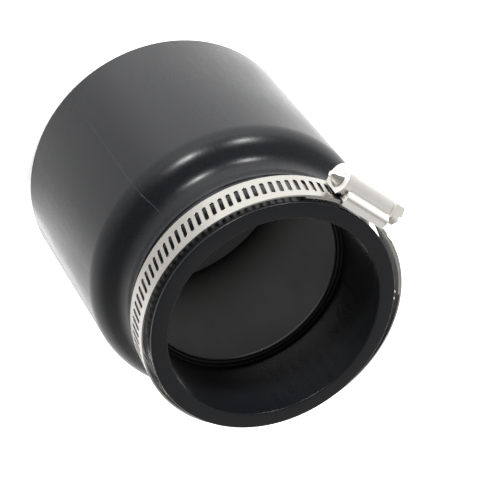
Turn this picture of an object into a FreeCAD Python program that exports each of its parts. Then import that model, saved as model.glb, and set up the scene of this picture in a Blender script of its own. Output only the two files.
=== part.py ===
"""Reducing pipe coupling: a moulded rubber sleeve with a worm-drive band clamp on its neck.

Frame: +Z is the sleeve's axis and points out of the neck. The origin is the centre of the
wide mouth, and the sleeve stands on that rim. The clamp hangs loose on the neck: it has its
own frame, whose X points at its housing, whose Z is the band's axis, and which is pushed
off the sleeve's axis and tilted about Y. All sizes are millimetres and degrees.
"""

import FreeCAD, Part
import math
import os
import Sketcher
from FreeCAD import Vector

SIZES = {
    # sleeve, outside
    "sleeve_length": 122.0,
    "body_wall": 2.2,
    "body_draft": 1.8,
    "shoulder_angle": 52.0,
    "shoulder_round": 12.0,
    "shoulder_hollow": 9.0,
    "neck_wall": 6.4,
    "neck_inset": 0.5,
    "lip_width": 1.5,
    "seat_depth": 0.5,
    "seat_play": 6.3,
    "bead_width": 2.0,
    "root_length": 7.0,
    # sleeve, inside
    "wide_bore_radius": 55.2,
    "neck_bore_radius": 41.6,
    "stop_drop": 2.0,
    "stop_rise": 2.4,
    "stop_width": 2.8,
    "shoulder_wall": 3.6,
    "inner_round": 9.0,
    # sleeve, small rounds
    "mouth_round": 0.6,
    "bore_round": 0.6,
    "rim_round": 0.5,
    "stop_round": 1.1,
    "seat_round": 0.3,
    # band and worm, which share the slot pitch
    "slot_pitch": 3.175,
    "band_slack": 2.5,
    "slot_play": 0.9,
    "slot_margin": 3.4,
    "band_width": 14.2,
    "band_thick": 0.6,
    "band_gap_angle": 3.0,
    "tail_pitches": 2.75,
    "first_slot_pitches": 1.75,
    "tail_round": 3.0,
    "layer_gap": 0.1,
    "tongue_reach_angle": 14.0,
    "saddle_seam_angle": 4.0,
    "saddle_seam_gap": 0.4,
    "travel_turns": 6,
    "lap_angle": 7.0,
    # housing
    "housing_length": 24.0,
    "housing_wall": 0.9,
    "housing_side_gap": 0.2,
    "flange_thick": 0.7,
    "flange_gap": 0.05,
    "flange_inset": 3.4,
    "skirt_rise": 1.9,
    "skirt_slope": 1.5,
    "barrel_wall": 0.9,
    "barrel_gap": 0.3,
    "end_wall": 1.4,
    "collar_length": 3.4,
    "collar_rise": 0.5,
    "skirt_setback": 2.4,
    "rib_width": 0.7,
    "rib_rise": 0.35,
    # worm screw
    "crest_radius": 4.3,
    "thread_height": 1.0,
    "crest_width": 0.7,
    "thread_flare": 0.8,
    "mesh_depth": 0.5,
    "journal_gap": 0.1,
    "thread_end_gap": 0.35,
    "tip_length": 4.2,
    "tip_radius": 1.0,
    "flange_rise": 0.6,
    "flange_length": 1.3,
    "head_gap": 0.6,
    "head_across_flats": 8.0,
    "head_length": 5.5,
    "head_chamfer": 0.5,
    "driver_slot_width": 1.3,
    "driver_slot_depth": 1.8,
    # where the loose clamp hangs on the neck
    "clamp_rise": 1.15,
    "clamp_shift_x": 0.4,
    "clamp_shift_y": -1.1,
    "clamp_tilt": -2.9,
}

# Sizes that follow from the ones above, as sheet formulas.
FORMULAS = {
    "body_radius": "wide_bore_radius + body_wall",
    "rim_radius": "body_radius + body_draft",
    "lip_radius": "neck_bore_radius + neck_wall",
    "neck_root_radius": "lip_radius - neck_inset",
    "stop_radius": "neck_bore_radius - stop_rise",
    "seat_width": "band_width + seat_play",
    "neck_length": "lip_width + seat_width + bead_width + root_length",
    "neck_bore_depth": "neck_length + stop_drop",
    "clamp_depth": "lip_width + seat_width / 2 - clamp_rise",
    "slots_per_turn": "floor(2 * pi * (lip_radius + band_slack) / slot_pitch + 0.5)",
    "slot_width": "crest_width + slot_play",
    "slot_length": "band_width - 2 * slot_margin",
    "pitch_angle": "360 / slots_per_turn",
    "mesh_radius": "slot_pitch * slots_per_turn / (2 * pi)",
    "band_inner": "mesh_radius - band_thick / 2",
    "band_outer": "mesh_radius + band_thick / 2",
    "under_outer": "band_inner - layer_gap",
    "under_inner": "under_outer - band_thick",
    "flange_outer": "under_inner - flange_gap",
    "flange_inner": "flange_outer - flange_thick",
    "channel_half": "band_width / 2 + housing_side_gap",
    "housing_half": "channel_half + housing_wall",
    "housing_half_angle": "asin(housing_length / 2 / band_outer) / 1 deg",
    "band_tail_pitches": "floor(housing_half_angle / pitch_angle) + tail_pitches",
    "tongue_angle": "housing_half_angle + tongue_reach_angle",
    "fixed_end_angle": "(band_tail_pitches + travel_turns) * pitch_angle + band_gap_angle + lap_angle",
    "screw_radius": "band_outer - mesh_depth + crest_radius",
    "root_radius": "crest_radius - thread_height",
    "thread_base_width": "crest_width + thread_flare",
    "journal_radius": "root_radius",
    "flange_radius": "crest_radius + flange_rise",
    "barrel_bore": "crest_radius + barrel_gap",
    "barrel_radius": "barrel_bore + barrel_wall",
    "journal_bore": "journal_radius + journal_gap",
    "lead_angle": "atan(slot_pitch / (2 * pi * crest_radius))",
    "slot_count": "floor((360 - band_gap_angle) / pitch_angle - 2 * first_slot_pitches) + 1",
}


def make_sheet(document):
    """Write every driving size and formula to one spreadsheet, a named cell each."""
    sheet = document.addObject("Spreadsheet::Sheet", "sizes")
    names = list(SIZES) + list(FORMULAS)
    for row, name in enumerate(names, start=1):
        sheet.set(f"A{row}", name)
        if name in SIZES:
            sheet.set(f"B{row}", str(SIZES[name]))
        else:
            sheet.set(f"B{row}", "=" + FORMULAS[name])
        sheet.setAlias(f"B{row}", name)
    document.recompute()
    return sheet


def from_sheet(text):
    """Turn bare size names in a formula into references to the sheet."""
    words = sorted(list(SIZES) + list(FORMULAS), key=len, reverse=True)
    result, position = "", 0
    while position < len(text):
        match = next((word for word in words if text.startswith(word, position)), None)
        starts_word = position == 0 or not (text[position - 1].isalnum() or text[position - 1] in "_.")
        if match and starts_word:
            result += "sizes." + match
            position += len(match)
        else:
            result += text[position]
            position += 1
    return result


def number(formula):
    """The present value of a formula in size names."""
    answer = sheet.evalExpression(from_sheet(str(formula)))
    return float(getattr(answer, "Value", answer))


def bind(thing, prop, formula):
    """Bind one property to a formula in size names."""
    thing.setExpression(prop, from_sheet(str(formula)))


def new_body(label):
    body = document.addObject("PartDesign::Body", label)
    body.Label = label
    return body


def origin_plane(body, role):
    return next(feature for feature in body.Origin.OriginFeatures if feature.Role == role)


def new_sketch(body, name, plane):
    sketch = body.newObject("Sketcher::SketchObject", name)
    sketch.AttachmentSupport = [(origin_plane(body, plane), "")]
    sketch.MapMode = "FlatFace"
    return sketch


def place_point(sketch, geometry, point, across, up):
    """Fix one sketch point at a place given by two formulas."""
    for kind, formula in (("DistanceX", across), ("DistanceY", up)):
        index = sketch.addConstraint(Sketcher.Constraint(kind, -1, 1, geometry, point, number(formula)))
        bind(sketch, f"Constraints[{index}]", formula)


def outline(body, name, plane, corners):
    """A closed sketch of straight lines through corners given as pairs of formulas."""
    sketch = new_sketch(body, name, plane)
    points = [Vector(number(across), number(up), 0) for across, up in corners]
    for index, start in enumerate(points):
        end = points[(index + 1) % len(points)]
        sketch.addGeometry(Part.LineSegment(start, end), False)
    for index in range(len(points)):
        following = (index + 1) % len(points)
        sketch.addConstraint(Sketcher.Constraint("Coincident", index, 2, following, 1))
    for index, (across, up) in enumerate(corners):
        place_point(sketch, index, 1, across, up)
    return sketch


def disc(body, name, plane, centre, radius):
    """A sketch of one circle."""
    sketch = new_sketch(body, name, plane)
    middle = Vector(number(centre[0]), number(centre[1]), 0)
    sketch.addGeometry(Part.Circle(middle, Vector(0, 0, 1), number(radius)), False)
    place_point(sketch, 0, 3, *centre)
    index = sketch.addConstraint(Sketcher.Constraint("Radius", 0, number(radius)))
    bind(sketch, f"Constraints[{index}]", radius)
    return sketch


def turned(body, kind, name, sketch, angle="360"):
    """Revolve a sketch about its own vertical axis, as a Revolution or a Groove."""
    feature = body.newObject("PartDesign::" + kind, name)
    feature.Profile = sketch
    feature.ReferenceAxis = (sketch, ["V_Axis"])
    bind(feature, "Angle", angle)
    document.recompute()
    return feature


def pushed(body, kind, name, sketch, length, both_ways=True, reverse=False):
    """Push a sketch out as a Pad, or in as a Pocket, by a length."""
    feature = body.newObject("PartDesign::" + kind, name)
    feature.Profile = sketch
    feature.Midplane = both_ways
    feature.Reversed = reverse
    bind(feature, "Length", length)
    document.recompute()
    return feature


def cut_some(body, before, name):
    """Stop if a cut took nothing away."""
    if body.Shape.Volume >= before - 1e-6:
        raise RuntimeError(name + " cuts nothing")


def rounded(body, name, radius, wanted, kind="Fillet"):
    """Round or chamfer the edges of the body that a test accepts."""
    document.recompute()
    base = body.Tip
    edges = [f"Edge{i}" for i, edge in enumerate(base.Shape.Edges, start=1) if wanted(edge)]
    if not edges:
        raise RuntimeError(f"{name} of {body.Label} finds no edge")
    feature = body.newObject("PartDesign::" + kind, name)
    feature.Base = (base, edges)
    bind(feature, "Radius" if kind == "Fillet" else "Size", radius)
    document.recompute()
    return feature


def ring_edges(*places):
    """A test for full circles about Z at (radius, height) places given as formulas."""
    targets = [(number(radius), number(height)) for radius, height in places]

    def wanted(edge):
        if not isinstance(edge.Curve, Part.Circle) or not edge.Closed:
            return False
        found = (edge.Curve.Radius, edge.Curve.Center.z)
        return any(math.dist(found, target) < 1e-4 for target in targets)

    return wanted


def in_clamp_frame(thing, turn="0"):
    """Place a piece of the clamp, after a turn about the band's own axis."""
    shift = "create(<<vector>>; clamp_shift_x; clamp_shift_y; sleeve_length - clamp_depth)"
    tilt = "create(<<rotation>>; create(<<vector>>; 0; 1; 0); clamp_tilt)"
    spin = f"create(<<rotation>>; create(<<vector>>; 0; 0; 1); {turn})"
    origin = "create(<<vector>>; 0; 0; 0)"
    bind(thing, "Placement", f"create(<<placement>>; {shift}; {tilt}) * create(<<placement>>; {origin}; {spin})")


def make_coupling_sleeve():
    """The rubber sleeve: wide body, shoulder, and a neck with a lip, a clamp seat and a bead."""
    body = new_body("coupling_sleeve")
    top = "sleeve_length"
    neck_z = "(sleeve_length - neck_length)"
    shoulder_rise = "(body_radius - neck_root_radius) / tan(shoulder_angle)"
    seat_top = "(sleeve_length - lip_width)"
    seat_bottom = f"({seat_top} - seat_width)"
    bead_bottom = f"({seat_bottom} - bead_width)"
    seat = "(lip_radius - seat_depth)"
    stop_top = "(sleeve_length - neck_bore_depth)"
    stop_bottom = f"({stop_top} - stop_width)"
    # The inner cone runs at shoulder_wall behind the outer one.
    cone_drop = "shoulder_wall / sin(shoulder_angle)"
    inner_cone_low = f"{neck_z} - {cone_drop} - (wide_bore_radius - neck_root_radius) / tan(shoulder_angle)"
    inner_cone_reach = f"neck_root_radius - ({stop_bottom} - {neck_z} + {cone_drop}) * tan(shoulder_angle)"
    corners = [
        ("wide_bore_radius", "0"),
        ("rim_radius", "0"),
        ("body_radius", f"{neck_z} - {shoulder_rise}"),
        ("neck_root_radius", neck_z),
        ("neck_root_radius", bead_bottom),
        ("lip_radius", bead_bottom),
        ("lip_radius", seat_bottom),
        (seat, seat_bottom),
        (seat, seat_top),
        ("lip_radius", seat_top),
        ("lip_radius", top),
        ("neck_bore_radius", top),
        ("neck_bore_radius", stop_top),
        ("stop_radius", stop_top),
        ("stop_radius", stop_bottom),
        (inner_cone_reach, stop_bottom),
        ("wide_bore_radius", inner_cone_low),
    ]
    turned(body, "Revolution", "sleeve_wall", outline(body, "sleeve_outline", "XZ_Plane", corners))
    shoulder_top = ring_edges(("body_radius", f"{neck_z} - {shoulder_rise}"))
    rounded(body, "shoulder_round_edge", "shoulder_round", shoulder_top)
    rounded(body, "shoulder_hollow_edge", "shoulder_hollow", ring_edges(("neck_root_radius", neck_z)))
    rounded(body, "inner_round_edge", "inner_round", ring_edges(("wide_bore_radius", inner_cone_low)))
    rounded(body, "mouth_edge", "mouth_round", ring_edges(("lip_radius", top)))
    rounded(body, "bore_edge", "bore_round", ring_edges(("neck_bore_radius", top)))
    stop_edges = ring_edges(("stop_radius", stop_top), ("stop_radius", stop_bottom))
    rounded(body, "stop_edges", "stop_round", stop_edges)
    rounded(body, "rim_edge", "rim_round", ring_edges(("rim_radius", "0")))
    seat_edges = ring_edges(
        ("lip_radius", seat_top),
        ("lip_radius", seat_bottom),
        ("lip_radius", bead_bottom),
    )
    rounded(body, "seat_edges", "seat_round", seat_edges)
    return body


def add_strip(body, inner, outer, width, angle):
    """A flat strip bent round Z, from the XZ plane through an angle."""
    corners = [
        (inner, f"-{width} / 2"),
        (outer, f"-{width} / 2"),
        (outer, f"{width} / 2"),
        (inner, f"{width} / 2"),
    ]
    return turned(body, "Revolution", "strip", outline(body, "strip_section", "XZ_Plane", corners), angle)


def make_slot_tool():
    """One slot's cutter: a round-ended bar that leans by the thread's lead angle."""
    body = new_body("slot_tool")
    slot = new_sketch(body, "slot_shape", "YZ_Plane")
    bind(slot, "AttachmentOffset", "create(<<placement>>; create(<<vector>>; 0; 0; band_inner - band_thick); "
         "create(<<rotation>>; create(<<vector>>; 0; 0; 1); 0))")
    radius = number("slot_width / 2")
    reach = "(slot_length - slot_width) / 2"
    lean_y, lean_z = f"{reach} * sin(lead_angle)", f"{reach} * cos(lead_angle)"
    top = Vector(number(lean_y), number(lean_z), 0)
    bottom = top * -1
    lean = math.radians(number("lead_angle"))
    side = Vector(math.cos(lean), -math.sin(lean), 0) * radius
    normal = Vector(0, 0, 1)
    top_arc = Part.ArcOfCircle(Part.Circle(top, normal, radius), -lean, math.pi - lean)
    bottom_arc = Part.ArcOfCircle(Part.Circle(bottom, normal, radius), math.pi - lean, 2 * math.pi - lean)
    slot.addGeometry(top_arc, False)
    slot.addGeometry(Part.LineSegment(top - side, bottom - side), False)
    slot.addGeometry(bottom_arc, False)
    slot.addGeometry(Part.LineSegment(bottom + side, top + side), False)
    for index in range(4):
        slot.addConstraint(Sketcher.Constraint("Tangent", index, 2, (index + 1) % 4, 1))
    place_point(slot, 0, 3, lean_y, lean_z)
    place_point(slot, 2, 3, f"-{lean_y}", f"-{lean_z}")
    width = slot.addConstraint(Sketcher.Constraint("Radius", 0, radius))
    bind(slot, f"Constraints[{width}]", "slot_width / 2")
    pushed(body, "Pad", "slot_bar", slot, "3 * band_thick", both_ways=False)
    return body


def make_clamp_band():
    """The moving, slotted run of the band, from its free tail nearly once round."""
    strip = new_body("band_strip")
    bend = add_strip(strip, "band_inner", "band_outer", "band_width", "360 - band_gap_angle")
    in_tail = [edge for edge in bend.Shape.Edges if abs(edge.BoundBox.YMax) + abs(edge.BoundBox.YMin) < 1e-4]
    corners = {edge.hashCode() for edge in in_tail if abs(edge.Length - number("band_thick")) < 1e-4}
    rounded(strip, "tail_corners", "tail_round", lambda edge: edge.hashCode() in corners)

    tool = make_slot_tool()
    row = document.addObject("Part::Feature", "slot_row")
    slots = []
    for index in range(round(number("slot_count"))):
        slot = tool.Shape.copy()
        angle = (index + number("first_slot_pitches")) * number("pitch_angle")
        slot.rotate(Vector(0, 0, 0), Vector(0, 0, 1), angle)
        slots.append(slot)
    row.Shape = Part.makeCompound(slots)

    band = document.addObject("Part::Cut", "clamp_band")
    band.Label = "clamp_band"
    band.Base = strip
    band.Tool = row
    document.recompute()
    if band.Shape.Volume >= strip.Shape.Volume:
        raise RuntimeError("the slots cut nothing")
    in_clamp_frame(band, "-band_tail_pitches * pitch_angle")
    return band


def make_clamp_saddle():
    """The saddle: a plain tongue that bridges under the moving band, inside the housing and out."""
    body = new_body("clamp_saddle")
    span = "tongue_angle + saddle_seam_angle"
    add_strip(body, "under_inner", "under_outer", "band_width", span)
    in_clamp_frame(body, "-saddle_seam_angle")
    return body


def make_band_fixed_end():
    """The band's anchored end, held in the housing beside the saddle."""
    body = new_body("band_fixed_end")
    seam = "(saddle_seam_angle + saddle_seam_gap)"
    add_strip(body, "under_inner", "under_outer", "band_width", f"fixed_end_angle - {seam}")
    in_clamp_frame(body, "-fixed_end_angle")
    return body


def make_clamp_housing():
    """The pressed housing: a barrel for the worm on a skirt folded under the band."""
    body = new_body("clamp_housing")
    centre = ("screw_radius", "0")
    skirt_top = "band_outer + skirt_rise"
    skirt = [
        ("flange_inner", "-housing_half"),
        (skirt_top, "-housing_half"),
        (f"{skirt_top} + skirt_slope", "-barrel_radius"),
        ("screw_radius", "-barrel_radius"),
        ("screw_radius", "barrel_radius"),
        (f"{skirt_top} + skirt_slope", "barrel_radius"),
        (skirt_top, "housing_half"),
        ("flange_inner", "housing_half"),
    ]
    pushed(body, "Pad", "skirt", outline(body, "skirt_section", "XZ_Plane", skirt), "housing_length")
    for side, name in ((1, "front"), (-1, "back")):
        for step, label in ((0.25, "low"), (0.75, "high")):
            low = f"band_outer + skirt_rise * {step} - rib_width / 2"
            edge = f"{side} * housing_half"
            proud = f"{side} * (housing_half + rib_rise)"
            rib = [(low, f"{side} * channel_half"), (f"{low} + rib_width", f"{side} * channel_half"),
                   (f"{low} + rib_width", edge), (f"{low} + rib_width / 2", proud), (low, edge)]
            sketch = outline(body, f"{name}_{label}_rib_section", "XZ_Plane", rib)
            pushed(body, "Pad", f"{name}_{label}_rib", sketch, "housing_length")

    # The skirt stops short of the barrel's collar at the tip end.
    setback = outline(body, "setback_section", "XZ_Plane", [
        ("flange_inner - 1", "-housing_half - 1"),
        (f"{skirt_top} + skirt_slope", "-housing_half - 1"),
        (f"{skirt_top} + skirt_slope", "housing_half + 1"),
        ("flange_inner - 1", "housing_half + 1"),
    ])
    bind(setback, "AttachmentOffset", "create(<<placement>>; create(<<vector>>; 0; 0; "
         "-housing_length / 2); create(<<rotation>>; create(<<vector>>; 0; 0; 1); 0))")
    before = body.Shape.Volume
    pushed(body, "Pocket", "setback", setback, "skirt_setback", both_ways=False, reverse=True)
    cut_some(body, before, "setback")

    barrel = disc(body, "barrel_circle", "XZ_Plane", centre, "barrel_radius")
    pushed(body, "Pad", "barrel", barrel, "housing_length")

    collar = disc(body, "collar_circle", "XZ_Plane", centre, "barrel_radius + collar_rise")
    bind(collar, "AttachmentOffset", "create(<<placement>>; create(<<vector>>; 0; 0; "
         "-housing_length / 2); create(<<rotation>>; create(<<vector>>; 0; 0; 1); 0))")
    pushed(body, "Pad", "collar", collar, "collar_length", both_ways=False)

    cuts = {
        "worm_bore": (disc(body, "worm_bore_circle", "XZ_Plane", centre, "barrel_bore"),
                      "housing_length - 2 * end_wall"),
        "journal_bore": (disc(body, "journal_circle", "XZ_Plane", centre, "journal_bore"),
                         "2 * housing_length"),
        "belly": (outline(body, "belly_section", "XZ_Plane", [
            ("flange_inner - 1", "-channel_half + flange_inset"),
            ("band_inner", "-channel_half + flange_inset"),
            ("band_inner", "channel_half - flange_inset"),
            ("flange_inner - 1", "channel_half - flange_inset")]), "2 * housing_length"),
    }
    for name, (sketch, length) in cuts.items():
        before = body.Shape.Volume
        pushed(body, "Pocket", name, sketch, length)
        cut_some(body, before, name)
    channel = [
        ("flange_outer", "-channel_half"),
        ("band_outer + layer_gap", "-channel_half"),
        ("band_outer + layer_gap", "channel_half"),
        ("flange_outer", "channel_half"),
    ]
    before = body.Shape.Volume
    turned(body, "Groove", "band_channel", outline(body, "channel_section", "XZ_Plane", channel))
    cut_some(body, before, "band_channel")
    in_clamp_frame(body)
    return body


def make_worm_screw():
    """The screw, built along its own Z: tip up, slotted hexagon head at the bottom."""
    body = new_body("worm_screw")
    inside = "(housing_length / 2 - end_wall - thread_end_gap)"
    face = "(housing_length / 2)"
    under_head = f"(-{face} - head_gap)"
    flange_bottom = f"({under_head} - flange_length)"
    core = [
        ("0", flange_bottom),
        ("flange_radius", flange_bottom),
        ("flange_radius", under_head),
        ("journal_radius", under_head),
        ("journal_radius", f"{face} + layer_gap"),
        ("tip_radius", f"{face} + tip_length"),
        ("0", f"{face} + tip_length"),
    ]
    turned(body, "Revolution", "core", outline(body, "core_outline", "XZ_Plane", core))

    hexagon = []
    for corner in range(6):
        turn = 60 * corner + 30
        reach = "head_across_flats / 2 / cos(30)"
        hexagon.append((f"{reach} * cos({turn})", f"{reach} * sin({turn})"))
    head = outline(body, "head_hexagon", "XY_Plane", hexagon)
    bind(head, "AttachmentOffset", f"create(<<placement>>; create(<<vector>>; 0; 0; {flange_bottom}); "
         "create(<<rotation>>; create(<<vector>>; 0; 0; 1); 0))")
    pushed(body, "Pad", "head", head, "head_length", both_ways=False, reverse=True)

    end = number(f"{flange_bottom} - head_length")
    rounded(body, "head_bevel", "head_chamfer",
            lambda edge: abs(edge.BoundBox.ZMax - end) < 1e-4 and abs(edge.BoundBox.ZMin - end) < 1e-4,
            kind="Chamfer")

    driver = outline(body, "driver_slot_section", "XZ_Plane", [
        ("-driver_slot_width / 2", f"{flange_bottom} - head_length - 1"),
        ("driver_slot_width / 2", f"{flange_bottom} - head_length - 1"),
        ("driver_slot_width / 2", f"{flange_bottom} - head_length + driver_slot_depth"),
        ("-driver_slot_width / 2", f"{flange_bottom} - head_length + driver_slot_depth"),
    ])
    before = body.Shape.Volume
    pushed(body, "Pocket", "driver_slot", driver, "2 * head_across_flats")
    cut_some(body, before, "driver_slot")

    # The thread's crest faces the band at the middle of the housing, where a slot lies.
    start = f"(slot_pitch / 2 - slot_pitch * floor(({inside} - thread_base_width / 2) / slot_pitch + 0.5))"
    section = outline(body, "thread_section", "XZ_Plane", [
        ("root_radius - 0.1", f"{start} - thread_base_width / 2"),
        ("crest_radius", f"{start} - crest_width / 2"),
        ("crest_radius", f"{start} + crest_width / 2"),
        ("root_radius - 0.1", f"{start} + thread_base_width / 2"),
    ])
    thread = body.newObject("PartDesign::AdditiveHelix", "thread")
    thread.Profile = section
    thread.ReferenceAxis = (section, ["V_Axis"])
    thread.Mode = "pitch-height-angle"
    bind(thread, "Pitch", "slot_pitch")
    bind(thread, "Height", f"-2 * {start}")
    document.recompute()
    axis_shift = "create(<<placement>>; create(<<vector>>; screw_radius; 0; 0); " \
                 "create(<<rotation>>; create(<<vector>>; 1; 0; 0); -90))"
    frame = "create(<<placement>>; create(<<vector>>; clamp_shift_x; clamp_shift_y; " \
            "sleeve_length - clamp_depth); create(<<rotation>>; create(<<vector>>; 0; 1; 0); clamp_tilt))"
    bind(body, "Placement", f"{frame} * {axis_shift}")
    return body


document = FreeCAD.newDocument("pipe_coupling")
sheet = make_sheet(document)
pieces = [
    make_coupling_sleeve(),
    make_clamp_band(),
    make_band_fixed_end(),
    make_clamp_saddle(),
    make_clamp_housing(),
    make_worm_screw(),
]
document.recompute()

for thing in document.Objects:
    if "Invalid" in thing.State or "Error" in thing.State:
        raise RuntimeError(f"{thing.Name} did not build: {thing.State}")
for piece in pieces:
    shape = piece.Shape
    if shape.isNull() or not shape.isValid() or len(shape.Solids) != 1:
        raise RuntimeError(f"{piece.Label} is not one valid solid")

os.makedirs("parts", exist_ok=True)
for piece in pieces:
    piece.Shape.exportStep(f"parts/{piece.Label}.step")
    print(f"{piece.Label}: {piece.Shape.Volume / 1000:.3f} cm3")
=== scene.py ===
# %% [markdown]
# # A reducing pipe coupling, in cells
# The real object is a black rubber sleeve that joins two plain drain pipes of different width,
# with a steel worm-drive clamp hanging loose on its narrow neck. An exact engineering model of
# every part has been packed already, so this lesson doesn't decide any size. It loads that
# model as a fixed frame and gives it the looks: soft moulded edges, a mould seam, rolled and
# brushed steel, a pale studio and a camera.

# %% Load the frame
import math

import bpy
from mathutils import Matrix, Vector


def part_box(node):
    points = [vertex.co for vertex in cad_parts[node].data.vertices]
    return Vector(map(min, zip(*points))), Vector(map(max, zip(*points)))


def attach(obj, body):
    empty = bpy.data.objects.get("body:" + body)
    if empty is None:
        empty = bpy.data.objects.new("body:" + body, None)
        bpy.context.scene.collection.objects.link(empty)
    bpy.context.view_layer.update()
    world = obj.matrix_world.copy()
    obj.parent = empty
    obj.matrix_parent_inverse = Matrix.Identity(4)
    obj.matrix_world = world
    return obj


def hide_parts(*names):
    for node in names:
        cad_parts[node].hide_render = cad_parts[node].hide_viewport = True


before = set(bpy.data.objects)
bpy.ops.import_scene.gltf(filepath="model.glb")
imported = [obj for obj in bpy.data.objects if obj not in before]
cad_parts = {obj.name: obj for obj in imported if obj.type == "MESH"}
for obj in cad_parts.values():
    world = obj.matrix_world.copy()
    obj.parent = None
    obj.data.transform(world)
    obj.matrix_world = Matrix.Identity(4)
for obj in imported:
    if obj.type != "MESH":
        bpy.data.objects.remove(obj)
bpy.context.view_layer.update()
print("nodes:", sorted(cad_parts))

MM = 0.001
scene = bpy.context.scene


def box_size(name):
    """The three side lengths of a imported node, in millimetres."""
    low, high = (Vector(corner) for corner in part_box(name))
    return (high - low) / MM


print("sleeve, mm:", [round(side, 2) for side in box_size("coupling_sleeve")])

# %% [markdown]
# ## Node helpers
# Blender builds shapes and finishes from node trees. Adding a node takes three steps, which
# are to make it, set its options and plug in its inputs, so a small class does all three in
# one call. The same class serves materials, the world and Geometry Nodes.

# %% A small class for node trees


class Tree:
    """Adds nodes to one tree. An input is a value, or an output socket to link from."""

    def __init__(self, tree):
        self.tree = tree

    def add(self, kind, inputs=None, **options):
        node = self.tree.nodes.new(kind)
        for name, value in options.items():
            setattr(node, name, value)
        for key, value in (inputs or {}).items():
            socket = node.inputs[key]
            if isinstance(value, bpy.types.NodeSocket):
                self.tree.links.new(value, socket)
            else:
                socket.default_value = value
        return node

    def math(self, operation, *values):
        node = self.add("ShaderNodeMath", dict(enumerate(values)), operation=operation)
        return node.outputs[0]

    def length(self, x, y):
        squares = [self.math("MULTIPLY", side, side) for side in (x, y)]
        return self.math("SQRT", self.math("ADD", *squares))

    def vector(self, x=0.0, y=0.0, z=0.0):
        return self.add("ShaderNodeCombineXYZ", {"X": x, "Y": y, "Z": z}).outputs[0]

    def parts(self, vector):
        outputs = self.add("ShaderNodeSeparateXYZ", {0: vector}).outputs
        return outputs[0], outputs[1], outputs[2]


# %% [markdown]
# ## The clamp's own frame
# The clamp hangs loose, so it is off the sleeve's axis and a little tilted. Everything on it
# is easier to describe where the band's axis is straight up and the housing lies along X, and
# one move and one turn then carry the result to its real place. The same numbers centre the
# steel's grain on the band, so that its lines run round the loop and not across it.

# %% Where the clamp hangs
SLEEVE_LENGTH = box_size("coupling_sleeve").z
CLAMP_DEPTH = 10.6
CLAMP_TILT = math.radians(-2.9)
CLAMP_CENTRE = Vector((0.4, -1.1, SLEEVE_LENGTH - CLAMP_DEPTH)) * MM

SLOT_PITCH = 3.175
SLOTS_PER_TURN = 100
BAND_THICK = 0.6
BAND_WIDTH = 14.2
mesh_radius = SLOT_PITCH * SLOTS_PER_TURN / (2 * math.pi)
band_outer = mesh_radius + BAND_THICK / 2
SCREW_CREST = 4.3
THREAD_BITE = 0.5
screw_radius = band_outer - THREAD_BITE + SCREW_CREST
print(f"band radius {band_outer:.2f} mm, screw axis at {screw_radius:.2f} mm")

# %% [markdown]
# ## Rubber
# Moulded EPDM rubber is nearly black, satin and a little uneven. Its shine comes from a soft
# gloss over a dark base, broken by fine grain from the mould, broad patches where the
# skin is duller, and specks of pale dust. Inside the wide bore the rubber is paler and rougher:
# the paleness is partly the mould's chalky powder and partly painted light, which stands in
# for the light that reaches the inner wall. All the patterns are noise read from Object
# coordinates, in metres, so they stay the same size on every face.

# %% The rubber's material
RUBBER_DARK = (0.0048, 0.0053, 0.0066, 1)
RUBBER_DULL = (0.0080, 0.0084, 0.0100, 1)
DUST = (0.05, 0.05, 0.05, 1)
# Paler tone inside the wide bore, and its reach: partly mould powder, partly painted light on the
# inner wall.
BORE_POWDER_AND_LIGHT = (0.030, 0.029, 0.028, 1)
BORE_TONE_REACH = 0.0558
BORE_TONE_HEIGHT = 0.079


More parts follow.
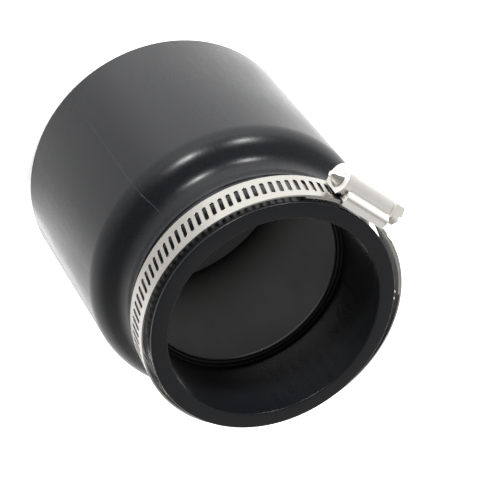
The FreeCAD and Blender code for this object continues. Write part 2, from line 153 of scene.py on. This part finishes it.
def rubber_material():
    material = bpy.data.materials.new("moulded_rubber")
    material.use_nodes = True
    material.node_tree.nodes.clear()
    tree = Tree(material.node_tree)
    place = tree.add("ShaderNodeTexCoord").outputs["Object"]
    grain = tree.add("ShaderNodeTexNoise", {"Vector": place, "Scale": 1900.0, "Detail": 3.0})
    patches = tree.add("ShaderNodeTexNoise", {"Vector": place, "Scale": 38.0, "Detail": 4.0})
    flow_place = tree.add("ShaderNodeMapping", {"Vector": place, "Scale": (1.0, 1.0, 0.12)})
    flow = tree.add("ShaderNodeTexNoise", {
        "Vector": flow_place.outputs[0], "Scale": 420.0, "Detail": 2.0})
    dust = tree.add("ShaderNodeTexNoise", {
        "Vector": place, "Scale": 1100.0, "Detail": 1.0, "Roughness": 0.4})
    specks = tree.add("ShaderNodeMapRange", {
        "Value": dust.outputs["Fac"], "From Min": 0.78, "From Max": 0.86,
        "To Min": 0.0, "To Max": 0.07})
    patch_colour = tree.add("ShaderNodeMix", {
        "Factor": patches.outputs["Fac"], "A": RUBBER_DARK, "B": RUBBER_DULL}, data_type="RGBA")
    colour = tree.add("ShaderNodeMix", {
        "Factor": specks.outputs["Result"], "A": patch_colour.outputs["Result"],
        "B": DUST}, data_type="RGBA")
    gloss = tree.math("ADD", tree.math("MULTIPLY", patches.outputs["Fac"], 0.16),
                      tree.math("MULTIPLY", flow.outputs["Fac"], 0.10))
    x, y, z = tree.parts(place)
    in_wide_bore = tree.math(
        "MULTIPLY", tree.math("LESS_THAN", tree.length(x, y), BORE_TONE_REACH),
        tree.math("LESS_THAN", z, BORE_TONE_HEIGHT))
    # Partly mould powder, partly painted light: the wide bore's inner wall is made paler.
    bore_tone_mix = tree.add("ShaderNodeMix", {
        "Factor": in_wide_bore, "A": colour.outputs["Result"], "B": BORE_POWDER_AND_LIGHT}, data_type="RGBA")
    roughness = tree.math(
        "ADD", tree.math("ADD", gloss, 0.16), tree.math("MULTIPLY", in_wide_bore, 0.25))
    height = tree.math("ADD", grain.outputs["Fac"], tree.math("MULTIPLY", flow.outputs["Fac"], 0.6))
    bump = tree.add("ShaderNodeBump", {"Height": height, "Strength": 0.10, "Distance": 0.0002})
    shader = tree.add("ShaderNodeBsdfPrincipled", {
        "Base Color": bore_tone_mix.outputs["Result"], "Roughness": roughness, "Normal": bump.outputs[0],
        "IOR": 1.5, "Specular IOR Level": 0.22, "Sheen Weight": 0.8, "Sheen Roughness": 0.15})
    tree.add("ShaderNodeOutputMaterial", {"Surface": shader.outputs[0]})
    return material


rubber = rubber_material()

# %% [markdown]
# ## Steel
# The clamp has three finishes. Its band is rolled strip, with faint lines round the loop. Its
# housing is pressed and brushed along the screw, and the screw is turned and plated, with
# lines round itself. One function makes all three: it is told which way the lines run, and
# stretches a noise along that way. The lines change both the height and the gloss. Creases
# also get painted shade: an Ambient Occlusion node measures how open the steel is within two
# millimetres of each point, and the colour turns near-black where it is closed in.

# %% One function for the steel finishes


def clamp_coordinates(tree):
    """Object coordinates turned into the clamp's own frame."""
    place = tree.add("ShaderNodeTexCoord").outputs["Object"]
    shifted = tree.add("ShaderNodeVectorMath", {0: place, 1: CLAMP_CENTRE}, operation="SUBTRACT")
    turned = tree.add("ShaderNodeVectorRotate", {
        "Vector": shifted.outputs[0], "Angle": -CLAMP_TILT}, rotation_type="Y_AXIS")
    return tree.parts(turned.outputs[0])


def grain_round_band(tree):
    x, y, z = clamp_coordinates(tree)
    angle = tree.math("ARCTAN2", y, x)
    return tree.vector(tree.math("MULTIPLY", angle, 0.0012), tree.length(x, y), z)


def grain_along_screw(tree):
    x, y, z = clamp_coordinates(tree)
    return tree.vector(x, tree.math("MULTIPLY", y, 0.03), z)


def grain_round_screw(tree):
    x, y, z = clamp_coordinates(tree)
    out = tree.math("SUBTRACT", x, screw_radius * MM)
    turn = tree.math("MULTIPLY", tree.math("ARCTAN2", z, out), 0.0002)
    return tree.vector(tree.length(out, z), y, turn)


# Painted shade in the steel's creases: how far to look, and the near-black tone it darkens to.
CREASE_REACH = 0.0022
CREASE_SHADE_TONE = (0.035, 0.032, 0.028, 1)


def steel_material(name, grain_place, light, dark, roughness, depth):
    material = bpy.data.materials.new(name)
    material.use_nodes = True
    material.node_tree.nodes.clear()
    tree = Tree(material.node_tree)
    lines_place = grain_place(tree)
    lines = tree.add("ShaderNodeTexNoise", {
        "Vector": lines_place, "Scale": 3800.0, "Detail": 4.0, "Roughness": 0.65})
    bands = tree.add("ShaderNodeTexNoise", {
        "Vector": lines_place, "Scale": 900.0, "Detail": 2.0})
    place = tree.add("ShaderNodeTexCoord").outputs["Object"]
    smears = tree.add("ShaderNodeTexNoise", {"Vector": place, "Scale": 160.0, "Detail": 5.0})
    mixed = tree.math("ADD", tree.math("MULTIPLY", lines.outputs["Fac"], 0.45),
                      tree.math("MULTIPLY", smears.outputs["Fac"], 0.55))
    colour = tree.add("ShaderNodeMix", {
        "Factor": mixed, "A": (*dark, 1), "B": (*light, 1)}, data_type="RGBA")
    spread = tree.math("ADD", tree.math("MULTIPLY", bands.outputs["Fac"], 0.12),
                       tree.math("MULTIPLY", smears.outputs["Fac"], 0.12))
    bump = tree.add("ShaderNodeBump", {
        "Height": lines.outputs["Fac"], "Strength": depth, "Distance": 0.00006})
    # Painted shade: the colour turns near-black where Ambient Occlusion finds the steel closed in.
    openness = tree.add("ShaderNodeAmbientOcclusion", {"Distance": CREASE_REACH}, samples=8)
    unshaded_share = tree.add("ShaderNodeMapRange", {
        "Value": openness.outputs["AO"], "From Min": 0.28, "From Max": 0.85})
    crease_shaded = tree.add("ShaderNodeMix", {
        "Factor": unshaded_share.outputs["Result"], "A": CREASE_SHADE_TONE, "B": colour.outputs["Result"]},
        data_type="RGBA")
    shader = tree.add("ShaderNodeBsdfPrincipled", {
        "Base Color": crease_shaded.outputs["Result"], "Metallic": 1.0, "Normal": bump.outputs[0],
        "Roughness": tree.math("ADD", spread, roughness - 0.12)})
    tree.add("ShaderNodeOutputMaterial", {"Surface": shader.outputs[0]})
    return material


band_steel = steel_material(
    "rolled_band_steel", grain_round_band, light=(0.41, 0.395, 0.37), dark=(0.31, 0.30, 0.275),
    roughness=0.30, depth=0.25)
housing_steel = steel_material(
    "brushed_housing_steel", grain_along_screw, light=(0.88, 0.86, 0.82), dark=(0.66, 0.64, 0.60),
    roughness=0.32, depth=0.45)
screw_steel = steel_material(
    "turned_screw_steel", grain_round_screw, light=(0.92, 0.89, 0.84), dark=(0.66, 0.63, 0.57),
    roughness=0.22, depth=0.30)

# %% [markdown]
# ## Geometry Nodes helpers
# A Geometry Nodes tree is a recipe with named inputs. Each tree here is put on an object as a
# modifier, its inputs are set by their identifiers, and the result is then frozen into a plain
# mesh, so that nothing depends on the modifier any more.

# %% Start a tree, and freeze its result


def new_recipe(name, sizes):
    """An empty Geometry Nodes tree with a geometry input and one input per size."""
    group = bpy.data.node_groups.new(name, "GeometryNodeTree")
    group.interface.new_socket("Geometry", in_out="OUTPUT", socket_type="NodeSocketGeometry")
    group.interface.new_socket("Geometry", in_out="INPUT", socket_type="NodeSocketGeometry")
    for size, value in sizes.items():
        kind = "NodeSocketInt" if isinstance(value, int) else "NodeSocketFloat"
        group.interface.new_socket(size, in_out="INPUT", socket_type=kind)
    tree = Tree(group)
    return tree, tree.add("NodeGroupInput").outputs


def end_recipe(tree, geometry, material):
    """Realize Instances and Set Material end every recipe."""
    smooth = tree.add("GeometryNodeSetShadeSmooth", {"Geometry": geometry})
    real = tree.add("GeometryNodeRealizeInstances", {"Geometry": smooth.outputs[0]})
    painted = tree.add("GeometryNodeSetMaterial", {
        "Geometry": real.outputs[0], "Material": material})
    tree.add("NodeGroupOutput", {0: painted.outputs[0]})


def freeze(name, start_mesh, tree, sizes, material):
    """Run a recipe on a mesh and keep the result as a plain mesh object."""
    holder = bpy.data.objects.new(name + "_start", start_mesh)
    scene.collection.objects.link(holder)
    modifier = holder.modifiers.new(name, "NODES")
    modifier.node_group = tree.tree
    sockets = {item.name: item.identifier for item in tree.tree.interface.items_tree
               if item.in_out == "INPUT"}
    for size, value in sizes.items():
        modifier[sockets[size]] = value
    result = bpy.data.meshes.new_from_object(
        holder.evaluated_get(bpy.context.evaluated_depsgraph_get()))
    holder.modifiers.clear()
    bpy.data.objects.remove(holder)
    result.materials.clear()
    result.materials.append(material)
    result.name = name
    piece = bpy.data.objects.new(name, result)
    scene.collection.objects.link(piece)
    print(f"{name}: {len(result.vertices)} points, {len(result.polygons)} faces")
    return piece


def profile_mesh(name, corners, closed):
    """Corners given as (radius, height, round) in millimetres, as a mesh of edges only."""
    count = len(corners)
    mesh = bpy.data.meshes.new(name)
    edges = [(i, (i + 1) % count) for i in range(count if closed else count - 1)]
    mesh.from_pydata([(radius * MM, -height * MM, 0) for radius, height, _ in corners], edges, [])
    rounds = mesh.attributes.new("round", "FLOAT", "POINT")
    rounds.data.foreach_set("value", [size * MM for _, _, size in corners])
    return mesh


# %% [markdown]
# ## The sleeve
# The sleeve is moulded in one piece and is round all the way, so its shape follows one rule:
# a wall section swept round an axis. The recipe turns the section's corners into a curve,
# rounds each corner by its own radius, and sweeps it round a circle. Every corner gets some
# radius, because rubber never leaves a mould with a sharp edge. A lathe like this keeps the
# long shoulder curves far smoother than a sculpted mesh would.

# %% The sleeve's sizes, in millimetres
WIDE_BORE, NECK_BORE = 55.2, 41.6
BODY_WALL, NECK_WALL, SHOULDER_WALL = 2.2, 6.4, 3.6
NECK_INSET, SEAT_DEPTH, STOP_RISE = 0.5, 0.5, 2.4
LIP_WIDTH, SEAT_PLAY, BEAD_WIDTH, ROOT_LENGTH = 1.5, 6.3, 2.0, 7.0
STOP_DROP, STOP_HEIGHT = 2.0, 2.8
SHOULDER_ANGLE = math.radians(52.0)
SHOULDER_ROUND, SHOULDER_HOLLOW = 12.0, 9.0

# %% The sleeve's wall section
BODY_RADIUS = WIDE_BORE + BODY_WALL
RIM_RADIUS = box_size("coupling_sleeve").x / 2
LIP_RADIUS = NECK_BORE + NECK_WALL
NECK_ROOT = LIP_RADIUS - NECK_INSET
SEAT_RADIUS = LIP_RADIUS - SEAT_DEPTH
STOP_RADIUS = NECK_BORE - STOP_RISE
lip_low = SLEEVE_LENGTH - LIP_WIDTH
seat_low = lip_low - (BAND_WIDTH + SEAT_PLAY)
bead_low = seat_low - BEAD_WIDTH
neck_low = bead_low - ROOT_LENGTH
stop_high = neck_low - STOP_DROP
stop_low = stop_high - STOP_HEIGHT
shoulder_low = neck_low - (BODY_RADIUS - NECK_ROOT) / math.tan(SHOULDER_ANGLE)
wall_drop = SHOULDER_WALL / math.sin(SHOULDER_ANGLE)
cone_low = neck_low - wall_drop - (WIDE_BORE - NECK_ROOT) / math.tan(SHOULDER_ANGLE)
cone_reach = NECK_ROOT - (stop_low - neck_low + wall_drop) * math.tan(SHOULDER_ANGLE)

outside = [
    (LIP_RADIUS, SLEEVE_LENGTH, 0.6),
    (LIP_RADIUS, lip_low, 0.35),
    (SEAT_RADIUS, lip_low, 0.3),
    (SEAT_RADIUS, seat_low, 0.3),
    (LIP_RADIUS, seat_low, 0.35),
    (LIP_RADIUS, bead_low, 0.35),
    (NECK_ROOT, bead_low, 0.1),
    (NECK_ROOT, neck_low, SHOULDER_HOLLOW),
    (BODY_RADIUS, shoulder_low, SHOULDER_ROUND),
    (RIM_RADIUS, 0.0, 0.5),
]
inside = [
    (WIDE_BORE, 0.0, 0.4),
    (WIDE_BORE, cone_low, SHOULDER_HOLLOW),
    (cone_reach, stop_low, 0.6),
    (STOP_RADIUS, stop_low, 1.1),
    (STOP_RADIUS, stop_high, 1.1),
    (NECK_BORE, stop_high, 0.5),
    (NECK_BORE, SLEEVE_LENGTH, 0.6),
]
print(f"shoulder from {shoulder_low:.1f} to {neck_low:.1f} mm, neck to {SLEEVE_LENGTH:.1f} mm")

# %% Sweep the section round the axis


def rounded_curve(tree, geometry, points):
    """The section's edges as a curve, with each corner rounded by its own attribute."""
    curve = tree.add("GeometryNodeMeshToCurve", {"Mesh": geometry})
    radius = tree.add("GeometryNodeInputNamedAttribute", {"Name": "round"}, data_type="FLOAT")
    return tree.add("GeometryNodeFilletCurve", {
        "Curve": curve.outputs[0], "Count": points, "Radius": radius.outputs[0],
        "Limit Radius": True}, mode="POLY").outputs[0]


lathe_sizes = {"Corner points": 12, "Steps round": 256, "Circle radius": 0.05}
lathe, given = new_recipe("sleeve_lathe", lathe_sizes)
section = rounded_curve(lathe, given["Geometry"], given["Corner points"])
inwards = lathe.vector(lathe.math("MULTIPLY", given["Circle radius"], -1.0))
centred = lathe.add("GeometryNodeTransform", {"Geometry": section, "Translation": inwards})
circle = lathe.add("GeometryNodeCurvePrimitiveCircle", {
    "Resolution": given["Steps round"], "Radius": given["Circle radius"]})
wall = lathe.add("GeometryNodeCurveToMesh", {
    "Curve": circle.outputs[0], "Profile Curve": centred.outputs[0]})
end_recipe(lathe, wall.outputs[0], rubber)
section_mesh = profile_mesh("sleeve_section", inside + outside, closed=True)
rubber_sleeve = freeze("rubber_sleeve", section_mesh, lathe, lathe_sizes, rubber)
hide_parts("coupling_sleeve")
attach(rubber_sleeve, "sleeve")

# %% [markdown]
# ## The mould seam
# Where the two halves of the mould met, a hair of rubber runs up each side of the sleeve. It
# follows the outside of the section, so the same rounded curve is used, given a thin round
# bead, and copied to the two sides of the mould. The ring that shaped the neck's bead was
# turned to another angle, so the bead has a short seam of its own, from the same recipe.

# %% Hair-fine seams on the body and on the bead
BODY_SEAM_ANGLE, BEAD_SEAM_ANGLE = math.radians(83.0), math.radians(138.0)
seam_sizes = {
    "Corner points": 24, "Bead radius": 0.00022, "Sides": 2, "First side": BODY_SEAM_ANGLE}
seam, given = new_recipe("mould_seam", seam_sizes)
path = rounded_curve(seam, given["Geometry"], given["Corner points"])
bead = seam.add("GeometryNodeCurvePrimitiveCircle", {
    "Resolution": 8, "Radius": given["Bead radius"]})
hair = seam.add("GeometryNodeCurveToMesh", {
    "Curve": path, "Profile Curve": bead.outputs[0], "Fill Caps": True})
upright = seam.add("GeometryNodeTransform", {
    "Geometry": hair.outputs[0], "Rotation": (math.radians(-90), 0, 0)})
sides = seam.add("GeometryNodePoints", {"Count": given["Sides"]})
index = seam.add("GeometryNodeInputIndex").outputs[0]
side_angle = seam.math("ADD", seam.math("MULTIPLY", index, math.pi), given["First side"])
copies = seam.add("GeometryNodeInstanceOnPoints", {
    "Points": sides.outputs[0], "Instance": upright.outputs[0],
    "Rotation": seam.vector(z=side_angle)})
end_recipe(seam, copies.outputs[0], rubber)
SEAM_SINK = 0.12
seam_run = [
    (NECK_ROOT - SEAM_SINK, bead_low - 0.5, 0.0),
    (NECK_ROOT - SEAM_SINK, neck_low, SHOULDER_HOLLOW),
    (BODY_RADIUS - SEAM_SINK, shoulder_low, SHOULDER_ROUND),
    (RIM_RADIUS - SEAM_SINK, 0.6, 0.0),
]
bead_run = [
    (NECK_ROOT - SEAM_SINK, bead_low - 2.5, 0.0),
    (NECK_ROOT - SEAM_SINK, bead_low, 0.2),
    (LIP_RADIUS - SEAM_SINK, bead_low, 0.3),
    (LIP_RADIUS - SEAM_SINK, seat_low, 0.3),
    (SEAT_RADIUS - SEAM_SINK, seat_low, 0.1),
    (SEAT_RADIUS - SEAM_SINK, seat_low + 3.0, 0.0),
]
bead_sizes = {**seam_sizes, "First side": BEAD_SEAM_ANGLE}
seam_parts = {
    "mould_seams": (profile_mesh("seam_run", seam_run, closed=False), seam_sizes),
    "bead_seams": (profile_mesh("bead_run", bead_run, closed=False), bead_sizes)}
for name, (run_mesh, sizes) in seam_parts.items():
    piece = freeze(name, run_mesh, seam, sizes, rubber)
    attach(piece, "sleeve")

# %% [markdown]
# ## The slots' rolled rims
# A worm clamp's band is punched with a slot for every turn of the thread, and the punch leaves
# a rounded rim on each one. The slots themselves are real holes in the engineering model. The
# recipe makes one rim, a rounded rectangle leaning with the thread, and sets a copy at each
# slot round the loop.

# %% One rim per slot
SLOT_WIDTH, SLOT_LENGTH = 1.6, 7.4
FIRST_SLOT = 1.75
TAIL_PITCHES = 5.75
lead = math.atan(SLOT_PITCH / (2 * math.pi * SCREW_CREST))
RIM_SPREAD, RIM_SINK = 0.12, 0.03
pitch_angle = 2 * math.pi / SLOTS_PER_TURN
rim_sizes = {
    "Slots": 96, "Loop radius": (band_outer - RIM_SINK) * MM,
    "Slot width": (SLOT_WIDTH + RIM_SPREAD) * MM,
    "Slot length": (SLOT_LENGTH + RIM_SPREAD) * MM, "Rim radius": 0.00011, "Lean": lead,
    "Pitch": pitch_angle, "First angle": (FIRST_SLOT - TAIL_PITCHES) * pitch_angle}
rims, given = new_recipe("slot_rims", rim_sizes)
outline = rims.add("GeometryNodeCurvePrimitiveQuadrilateral", {
    "Width": given["Slot width"], "Height": given["Slot length"]})
stadium = rims.add("GeometryNodeFilletCurve", {
    "Curve": outline.outputs[0], "Count": 5, "Limit Radius": True,
    "Radius": rims.math("MULTIPLY", given["Slot width"], 0.499)}, mode="POLY")
wire = rims.add("GeometryNodeCurvePrimitiveCircle", {
    "Resolution": 6, "Radius": given["Rim radius"]})
rim = rims.add("GeometryNodeCurveToMesh", {
    "Curve": stadium.outputs[0], "Profile Curve": wire.outputs[0]})
leaning = rims.add("GeometryNodeTransform", {
    "Geometry": rim.outputs[0],
    "Rotation": rims.vector(z=rims.math("MULTIPLY", given["Lean"], -1.0))})
index = rims.add("GeometryNodeInputIndex").outputs[0]
angle = rims.math("ADD", rims.math("MULTIPLY", index, given["Pitch"]), given["First angle"])
spot = rims.vector(rims.math("MULTIPLY", rims.math("COSINE", angle), given["Loop radius"]),
                   rims.math("MULTIPLY", rims.math("SINE", angle), given["Loop radius"]))
spots = rims.add("GeometryNodePoints", {"Count": given["Slots"], "Position": spot})
placed = rims.add("GeometryNodeInstanceOnPoints", {
    "Points": spots.outputs[0], "Instance": leaning.outputs[0],
    "Rotation": rims.vector(math.pi / 2, 0.0, rims.math("ADD", angle, math.pi / 2))})
hung = rims.add("GeometryNodeTransform", {
    "Geometry": placed.outputs[0], "Translation": tuple(CLAMP_CENTRE),
    "Rotation": (0, CLAMP_TILT, 0)})
end_recipe(rims, hung.outputs[0], band_steel)
rims_start = bpy.data.meshes.new("slot_rims_start")
slot_rims = freeze("slot_rims", rims_start, rims, rim_sizes, band_steel)
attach(slot_rims, "band")

# %% [markdown]
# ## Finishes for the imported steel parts
# The band, the anchored end, the tongue under the housing, the housing and the screw already
# have their true shapes, so they only take a finish.

# %% Give each steel part its finish
finishes = {
    "clamp_band": band_steel, "band_fixed_end": band_steel, "clamp_saddle": band_steel,
    "clamp_housing": housing_steel, "worm_screw": screw_steel}
for name, finish in finishes.items():
    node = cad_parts[name]
    node.data.materials.clear()
    node.data.materials.append(finish)
    print(name, "takes", finish.name)

# %% [markdown]
# ## Studio
# The coupling stands on a pale sweep in a bright, even room, so that black rubber reads by
# its reflections: pale at the edges, where it mirrors the room, and dark where it faces the
# unlit side. A world that is white at the horizon but dimmer high up on one side gives that,
# and two soft boxes add the bright streaks on the shoulder. The body mirrors the floor, so the
# paper glows a little, and less on one side, as if a dark flag stood there.

# %% Floor
HALF_FLOOR = 12.0
FLAG_SIDE = math.radians(102.0)
PAPER_WHITE = (0.93, 0.93, 0.93, 1)
floor_mesh = bpy.data.meshes.new("floor")
floor_corners = [(-HALF_FLOOR, -HALF_FLOOR, 0), (HALF_FLOOR, -HALF_FLOOR, 0),
                 (HALF_FLOOR, HALF_FLOOR, 0), (-HALF_FLOOR, HALF_FLOOR, 0)]
floor_mesh.from_pydata(floor_corners, [], [(0, 1, 2, 3)])
floor = bpy.data.objects.new("floor", floor_mesh)
scene.collection.objects.link(floor)
paper = bpy.data.materials.new("pale_paper")
paper.use_nodes = True
paper_shader = paper.node_tree.nodes["Principled BSDF"]
paper_shader.inputs["Base Color"].default_value = PAPER_WHITE
paper_shader.inputs["Roughness"].default_value = 0.9
paper_shader.inputs["Specular IOR Level"].default_value = 0.1
paper_shader.inputs["Emission Color"].default_value = (1.0, 1.0, 1.0, 1)
paper_tree = Tree(paper.node_tree)
floor_spot = paper_tree.add("ShaderNodeTexCoord").outputs["Object"]
outward = paper_tree.add("ShaderNodeVectorMath", {0: floor_spot}, operation="NORMALIZE")
flag_direction = (math.cos(FLAG_SIDE), math.sin(FLAG_SIDE), 0.0)
towards = paper_tree.add("ShaderNodeVectorMath", {
    0: outward.outputs[0], 1: flag_direction}, operation="DOT_PRODUCT")
glow_level = paper_tree.add("ShaderNodeMapRange", {
    "Value": towards.outputs["Value"], "From Min": 0.70, "From Max": 0.98,
    "To Min": 1.18, "To Max": 0.42}, interpolation_type="SMOOTHSTEP")
paper.node_tree.links.new(
    glow_level.outputs["Result"], paper_shader.inputs["Emission Strength"])
floor_mesh.materials.append(paper)

# %% [markdown]
# Light also has to reach the inside of the sleeve. A disc of dark paper under it, glowing only
# faintly, is painted shade: it hides the floor that would glare through the neck and stands in
# for the shade inside the sleeve. A smaller glowing card on that paper throws a little light
# up the inner wall.

# %% Cards under the sleeve


def disc_card(name, radius, centre, height, grey, glow):
    """A flat round card of paper on the floor, under the sleeve."""
    steps = 64
    mesh = bpy.data.meshes.new(name)
    turns = [2 * math.pi * step / steps for step in range(steps)]
    edge = [(centre[0] + radius * math.cos(turn), centre[1] + radius * math.sin(turn), height)
            for turn in turns]
    mesh.from_pydata(edge, [], [tuple(range(steps))])
    card = bpy.data.objects.new(name, mesh)
    scene.collection.objects.link(card)
    finish = bpy.data.materials.new(name + "_paper")
    finish.use_nodes = True
    shader = finish.node_tree.nodes["Principled BSDF"]
    shader.inputs["Base Color"].default_value = (grey, grey, grey, 1)
    shader.inputs["Roughness"].default_value = 0.9
    shader.inputs["Emission Color"].default_value = (1.0, 1.0, 1.0, 1)
    shader.inputs["Emission Strength"].default_value = glow
    mesh.materials.append(finish)


# Painted shade: this dark, faintly glowing disc stands in for the shade inside the sleeve.
disc_card("shade_card", 0.057, (0.0, 0.0), 0.0002, grey=0.02, glow=0.018)
disc_card("bounce_card", 0.040, (0.001, 0.003), 0.0004, grey=0.9, glow=1.8)

# %% World: white at the horizon, dimmer high up on one side
DIM_SIDE = Vector((0.21, 0.57, 0.79)).normalized()
world = bpy.data.worlds.new("studio_room")
scene.world = world
world.use_nodes = True
world.node_tree.nodes.clear()
room = Tree(world.node_tree)
direction = room.add("ShaderNodeTexCoord").outputs["Generated"]
facing = room.add(
    "ShaderNodeVectorMath", {0: direction, 1: DIM_SIDE}, operation="DOT_PRODUCT")
dimming = room.add("ShaderNodeMapRange", {
    "Value": facing.outputs["Value"], "From Min": 0.0, "From Max": 0.85,
    "To Min": 0.0, "To Max": 0.75})
above_horizon = room.add("ShaderNodeMapRange", {
    "Value": room.parts(direction)[2], "From Min": 0.16, "From Max": 0.30})
dimmed = room.math("MULTIPLY", dimming.outputs["Result"], above_horizon.outputs["Result"])
level = room.math("SUBTRACT", 1.0, dimmed)
background = room.add("ShaderNodeBackground", {"Color": (1.0, 1.0, 1.0, 1), "Strength": level})
room.add("ShaderNodeOutputWorld", {"Surface": background.outputs[0]})

# %% Soft boxes


def looking(place, aim):
    """The matrix of a lamp or camera that stands at a place and points at an aim."""
    turn = (Vector(aim) - Vector(place)).to_track_quat("-Z", "Y")
    return Matrix.Translation(place) @ turn.to_matrix().to_4x4()


def soft_box(name, place, aim, size, power):
    light = bpy.data.lights.new(name, "AREA")
    light.shape = "RECTANGLE"
    light.size, light.size_y = size
    light.energy = power
    lamp = bpy.data.objects.new(name, light)
    scene.collection.objects.link(lamp)
    lamp.matrix_world = looking(place, aim)


OBJECT_MIDDLE = (0, 0, 0.07)
soft_box("low_box", (0.42, 0.62, 0.27), OBJECT_MIDDLE, (0.08, 0.07), 4.2)
soft_box("side_box", (0.71, 0.24, 0.27), OBJECT_MIDDLE, (0.08, 0.07), 3.0)

# %% [markdown]
# ## Camera
# A long lens from above one side, as for a catalogue picture, and turned about its own axis so
# that the neck points down and to the right in the picture.

# %% Camera
camera_data = bpy.data.cameras.new("camera")
camera_data.lens = 115.2
camera_data.clip_end = 20.0
camera = bpy.data.objects.new("camera", camera_data)
scene.collection.objects.link(camera)
CAMERA_PLACE = Vector((0.1298, 0.3526, 0.5677))
CAMERA_AIM = Vector((0.00419, -0.01147, 0.06729))
CAMERA_ROLL = math.radians(142.75)
camera.matrix_world = looking(CAMERA_PLACE, CAMERA_AIM) @ Matrix.Rotation(CAMERA_ROLL, 4, "Z")
scene.camera = camera
scene.view_settings.view_transform = "Standard"
